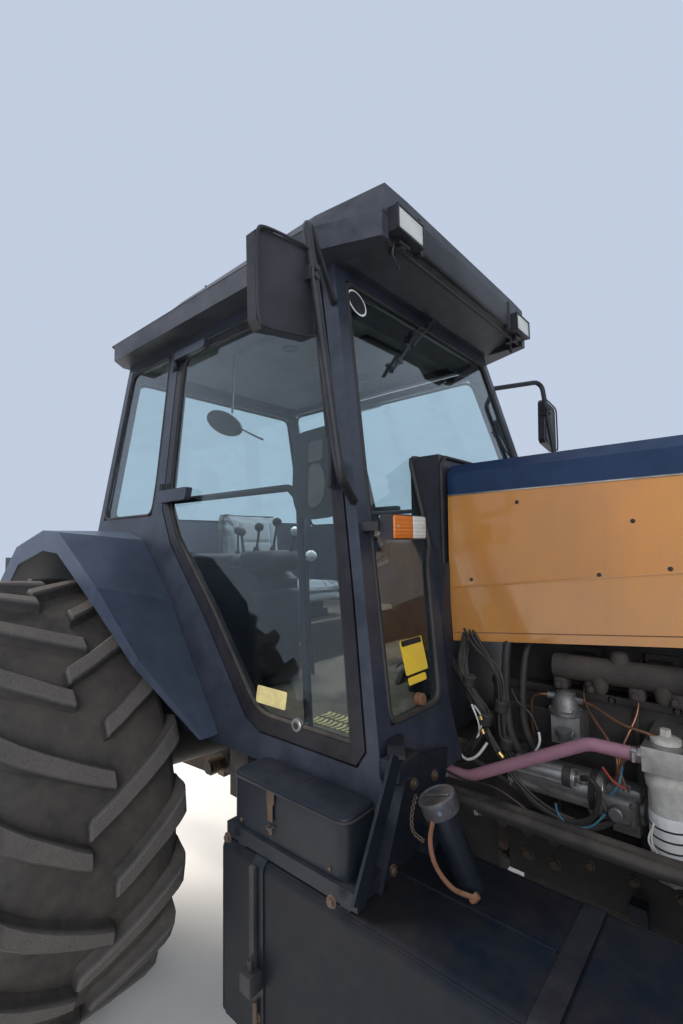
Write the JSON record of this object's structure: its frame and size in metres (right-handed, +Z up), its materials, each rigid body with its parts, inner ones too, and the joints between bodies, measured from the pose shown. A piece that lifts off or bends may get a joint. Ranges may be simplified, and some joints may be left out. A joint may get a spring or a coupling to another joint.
{
  "type": "farm tractor",
  "caption": "Full-size farm tractor: glazed cab with two doors, tilting bonnet, driven lugged tyres, steered front axle, fuel tank, toolbox and rear three-point linkage.",
  "frame": {"origin": "on the ground under the middle of the whole machine", "axes": "+X forward along the machine, +Y to its left, +Z up"},
  "size_m": [4.5347, 3.02, 2.885],
  "materials": {
    "cab_grey": "sun-faded satin",
    "chassis_grey": "painted, dusty",
    "cowl_black": "matte",
    "dark_blue": "satin, faded",
    "engine_paint": "oily, dusty",
    "fender_grey": "faded, dusty",
    "fitting_metal": "dull",
    "floor_rubber": "matte",
    "frame_black": "matte, dusty",
    "hose_rubber": "dusty",
    "interior_plastic": "matte",
    "lamp_glass": "clear",
    "radiator_black": "matte",
    "rim_paint": "faded, dusty",
    "roof_cream": "faded",
    "rusty_iron": "rusty",
    "seat_fabric": "woven",
    "tank_black": "dusty",
    "tinted_glass": "tinted",
    "toolbox_black": "chipped",
    "trim_black": "matte",
    "tyre": "dusty",
    "weight_iron": "painted",
    "worn_steel": "worn",
    "yellow": "sun-faded, dusty"
  },
  "bodies": {
    "chassis": {"access_steps": "frame_black", "cab_floor": "floor_rubber", "cab_frame": "cab_grey", "cab_glass": "tinted_glass", "consoles": "interior_plastic", "cowl": "cowl_black", "drawbar": "worn_steel", "engine_block": "engine_paint", "engine_fittings": "fitting_metal", "exhaust": "rusty_iron", "fenders": "fender_grey", "filler_neck": "frame_black", "front_axle": "chassis_grey", "front_frame": "chassis_grey", "front_weights": "weight_iron", "fuel_tank": "tank_black", "hoses": "hose_rubber", "lamps": "lamp_glass", "mirrors": "trim_black", "radiator": "radiator_black", "rear_axle": "chassis_grey", "roof": "roof_cream", "seat_backrest": "seat_fabric", "seat_cushion": "seat_fabric", "tank_cradle": "frame_black", "toolbox": "toolbox_black", "transmission": "chassis_grey"},
    "rear_wheel_left": {"rear_rim_left": "rim_paint", "rear_tyre_left": "tyre"},
    "rear_wheel_right": {"rear_rim_right": "rim_paint", "rear_tyre_right": "tyre"},
    "front_wheel_left": {"front_rim_left": "rim_paint", "front_tyre_left": "tyre"},
    "front_wheel_right": {"front_rim_right": "rim_paint", "front_tyre_right": "tyre"},
    "steer_left": {"knuckle_left": "chassis_grey"},
    "steer_right": {"knuckle_right": "chassis_grey"},
    "door_left_body": {"door_left": "cab_grey", "door_glass_left": "tinted_glass"},
    "door_right_body": {"door_right": "cab_grey", "door_glass_right": "tinted_glass"},
    "bonnet": {"bonnet_top": "dark_blue", "bonnet_sides": "yellow", "nose_grille": "dark_blue", "headlights": "lamp_glass"},
    "lid": {"toolbox_lid": "toolbox_black"},
    "steering": {"steering_wheel": "interior_plastic"},
    "lift": {"lift_arms": "worn_steel"},
    "lower": {"lower_links": "worn_steel"},
    "lift_rod_pair": {"lift_rods": "worn_steel"},
    "upper_link": {"top_link": "worn_steel"}
  },
  "joints": [
    {"name": "rear_wheel_left_spin", "type": "hinge", "parent": "chassis", "child": "rear_wheel_left", "pos_m": [-1.29258, 1.225, 0.78454], "axis": [0, 1, 0], "continuous": true},
    {"name": "steer_left_turn", "type": "hinge", "parent": "chassis", "child": "steer_left", "pos_m": [1.58742, 0.85, 0.65945], "axis": [0, 0, 1], "range_deg": [-40, 40]},
    {"name": "front_wheel_left_spin", "type": "hinge", "parent": "steer_left", "child": "front_wheel_left", "pos_m": [1.58742, 1.04, 0.65945], "axis": [0, 1, 0], "continuous": true},
    {"name": "rear_wheel_right_spin", "type": "hinge", "parent": "chassis", "child": "rear_wheel_right", "pos_m": [-1.29258, -1.225, 0.78454], "axis": [0, 1, 0], "continuous": true},
    {"name": "steer_right_turn", "type": "hinge", "parent": "chassis", "child": "steer_right", "pos_m": [1.58742, -0.85, 0.65945], "axis": [0, 0, 1], "range_deg": [-40, 40]},
    {"name": "front_wheel_right_spin", "type": "hinge", "parent": "steer_right", "child": "front_wheel_right", "pos_m": [1.58742, -1.04, 0.65945], "axis": [0, 1, 0], "continuous": true},
    {"name": "door_right_swing", "type": "hinge", "parent": "chassis", "child": "door_right_body", "pos_m": [-1.10057, -0.71654, 2.20241], "axis": [-0.1233, 0.1711, 0.9775], "range_deg": [-45, 0]},
    {"name": "door_left_swing", "type": "hinge", "parent": "chassis", "child": "door_left_body", "pos_m": [-1.10057, 0.71654, 2.20241], "axis": [-0.1233, -0.1711, 0.9775], "range_deg": [0, 45]},
    {"name": "bonnet_lift", "type": "hinge", "parent": "chassis", "child": "bonnet", "pos_m": [0.14742, 0, 1.942], "axis": [0, -1, 0], "range_deg": [0, 50]},
    {"name": "toolbox_lid_lift", "type": "hinge", "parent": "chassis", "child": "lid", "pos_m": [0.02392, -0.918, 1.076], "axis": [1, 0, 0], "range_deg": [-75, 0]},
    {"name": "steering_wheel_turn", "type": "hinge", "parent": "chassis", "child": "steering", "pos_m": [-0.38758, 0, 1.668], "axis": [-0.5501, 0, 0.8351], "continuous": true},
    {"name": "lift_arm_turn", "type": "hinge", "parent": "chassis", "child": "lift", "pos_m": [-1.48258, 0, 1.095], "axis": [0, 1, 0], "range_deg": [-25, 38]},
    {"name": "lower_link_swing", "type": "hinge", "parent": "chassis", "child": "lower", "pos_m": [-1.36258, 0, 0.52], "axis": [0, 1, 0], "range_deg": [-15.3, 22.99]},
    {"name": "lift_rod_swing", "type": "hinge", "parent": "lift", "child": "lift_rod_pair", "pos_m": [-1.78258, 0, 1.055], "axis": [0, 1, 0], "range_deg": [-41.78, 27.66]},
    {"name": "top_link_swing", "type": "hinge", "parent": "chassis", "child": "upper_link", "pos_m": [-1.59758, 0, 0.88], "axis": [0, 1, 0], "range_deg": [-20, 35]}
  ],
  "couplings": [
    {"joint": "steer_right_turn", "follows": "steer_left_turn", "ratio": 1},
    {"joint": "lower_link_swing", "follows": "lift_arm_turn", "ratio": 0.5919},
    {"joint": "lift_rod_swing", "follows": "lift_arm_turn", "ratio": -1.0864}
  ]
}
